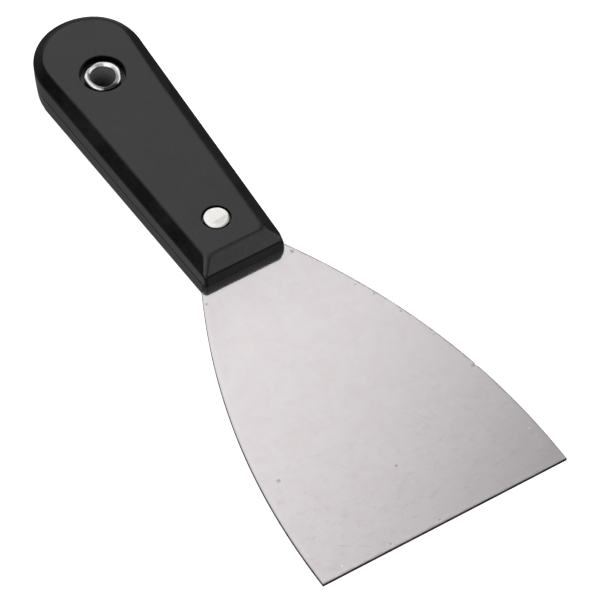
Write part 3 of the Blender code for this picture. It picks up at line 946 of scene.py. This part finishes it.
def make_camera():
    """Camera at the photo's place, aimed at a point just in front of the handle."""
    level = math.cos(CAMERA_ELEVATION)
    back = Vector((math.sin(CAMERA_AZIMUTH) * level, -math.cos(CAMERA_AZIMUTH) * level,
                   math.sin(CAMERA_ELEVATION)))
    camera = bpy.data.objects.new("camera", bpy.data.cameras.new("camera"))
    camera.data.lens = CAMERA_LENS
    camera.data.sensor_width = CAMERA_SENSOR
    camera.location = CAMERA_TARGET + back * CAMERA_DISTANCE
    camera.rotation_euler = (-back).to_track_quat("-Z", "Y").to_euler()
    bpy.context.scene.collection.objects.link(camera)
    bpy.context.scene.camera = camera


# Diffusion panel overhead, level and square (metres).
PANEL_CENTRE = (0.25, 0.25)
PANEL_SIZE = 1.8
PANEL_HEIGHT = 0.7

# Lamps behind the diffusion panel: place over the knife, spread, strength.
PANEL_LAMPS = [
    ((0.26, -0.11), (0.085, 0.095), 1.6),
    ((0.50, 0.03), (0.10, 0.08), 1.5),
    ((0.76, 0.20), (0.10, 0.09), 2.0),
    ((-0.20, 0.18), (0.07, 0.06), 2.0),
    ((0.28, -0.43), (0.12, 0.09), 0.30),
]

# Main softbox: strength, then (dark, lit) limits across, along and square to its slanted near
# side, and a point and the direction that the slanted limits are measured from.
SOFTBOX_STRENGTH = 1.04
SOFTBOX_LEFT = (-0.40, -0.05)
SOFTBOX_FAR = (1.05, 0.85)
SOFTBOX_NEAR = (0.20, -0.06)
SOFTBOX_NEAR_PLACE = (0.268, 0.36)
SOFTBOX_NEAR_SLOPE = (0.655, -0.756)

# Soft fill from around the studio: direction, spread, strength; and what is left between.
STUDIO_FILL = [
    ((-0.5, 0.5, -0.71), 0.40, 0.27),
    ((-0.82, -0.48, 0.30), 0.30, 1.2),
    ((0.93, -0.30, 0.20), 0.24, 1.0),
    ((0.92, 0.30, 0.25), 0.20, 0.14),
    ((-0.25, 0.95, 0.15), 0.22, 0.06),
    ((0.16, 0.92, 0.34), 0.22, 0.5),
    ((-0.70, 0.70, 0.17), 0.20, 0.5),
    ((0.60, 0.72, 0.34), 0.15, 0.45),
    ((-0.20, -0.93, 0.30), 0.22, 0.8),
    ((0.72, -0.64, 0.26), 0.20, 0.8),
    ((0.55, 0.45, -0.70), 0.30, 0.5),
]
STUDIO_DARK = 0.035


def softbox(tree, point):
    """Light of the main softbox at a point of the panel, which runs from 0 to 1 each way."""
    x, y, _ = tree.split(point)
    across = tree.math("MULTIPLY_ADD", x, PANEL_SIZE, PANEL_CENTRE[0] - 0.5 * PANEL_SIZE)
    along = tree.math("MULTIPLY_ADD", y, PANEL_SIZE, PANEL_CENTRE[1] - 0.5 * PANEL_SIZE)
    slope_x, slope_y = SOFTBOX_NEAR_SLOPE
    offset = -slope_x * SOFTBOX_NEAR_PLACE[0] - slope_y * SOFTBOX_NEAR_PLACE[1]
    near = tree.math("MULTIPLY_ADD", along, slope_y, offset)
    near = tree.math("MULTIPLY_ADD", across, slope_x, near)
    return tree.product(tree.remap(near, *SOFTBOX_NEAR), tree.remap(across, *SOFTBOX_LEFT),
                        tree.remap(along, *SOFTBOX_FAR), SOFTBOX_STRENGTH)


def make_studio():
    """World light: soft fill from around the studio, and white where the camera sees it."""
    world = bpy.data.worlds.new("studio")
    world.use_nodes = True
    tree = Tree(world.node_tree)
    direction = tree.nodes.new("ShaderNodeTexCoord").outputs["Generated"]
    fill = [(centre, (spread,) * 3, strength) for centre, spread, strength in STUDIO_FILL]
    light = tree.total(tree.glow(direction, fill), STUDIO_DARK)
    seen = tree.nodes.new("ShaderNodeLightPath").outputs["Is Camera Ray"]
    background = tree.nodes["Background"]
    tree.feed(background.inputs["Strength"], tree.most(light, seen))
    background.inputs["Color"].default_value = (1.0, 1.0, 1.0, 1.0)
    bpy.context.scene.world = world


def make_panel():
    """One large diffusion panel overhead, lit by the lamps and the softbox behind it."""
    panel = bpy.data.lights.new("diffusion_panel", "AREA")
    panel.shape = "SQUARE"
    panel.size = PANEL_SIZE
    panel.energy = math.pi * PANEL_SIZE ** 2
    panel.use_nodes = True
    tree = Tree(panel.node_tree)
    point = tree.nodes.new("ShaderNodeNewGeometry").outputs["Parametric"]
    lamps = []
    for (x, y), (spread_x, spread_y), strength in PANEL_LAMPS:
        centre = ((x - PANEL_CENTRE[0]) / PANEL_SIZE + 0.5,
                  (y - PANEL_CENTRE[1]) / PANEL_SIZE + 0.5, 0.0)
        spread = (spread_x / PANEL_SIZE, spread_y / PANEL_SIZE, 1e6)
        lamps.append((centre, spread, strength))
    light = tree.total(tree.glow(point, lamps), softbox(tree, point))
    tree.feed(tree.nodes["Emission"].inputs["Strength"], light)
    lamp = bpy.data.objects.new("diffusion_panel", panel)
    lamp.location = (*PANEL_CENTRE, PANEL_HEIGHT)
    lamp.visible_camera = False
    bpy.context.scene.collection.objects.link(lamp)


bpy.context.scene.view_settings.view_transform = "Standard"
make_camera()
make_blade()
make_scale("front_handle_scale", 1, "front_scale")
make_scale("back_handle_scale", -1, "back_scale")
make_rivet("rivet_head_half", 1, "rivet_stud")
make_rivet("rivet_cap_half", -1, "rivet_cap")
make_eyelet()
make_washer()
make_stage()
make_studio()
make_panel()
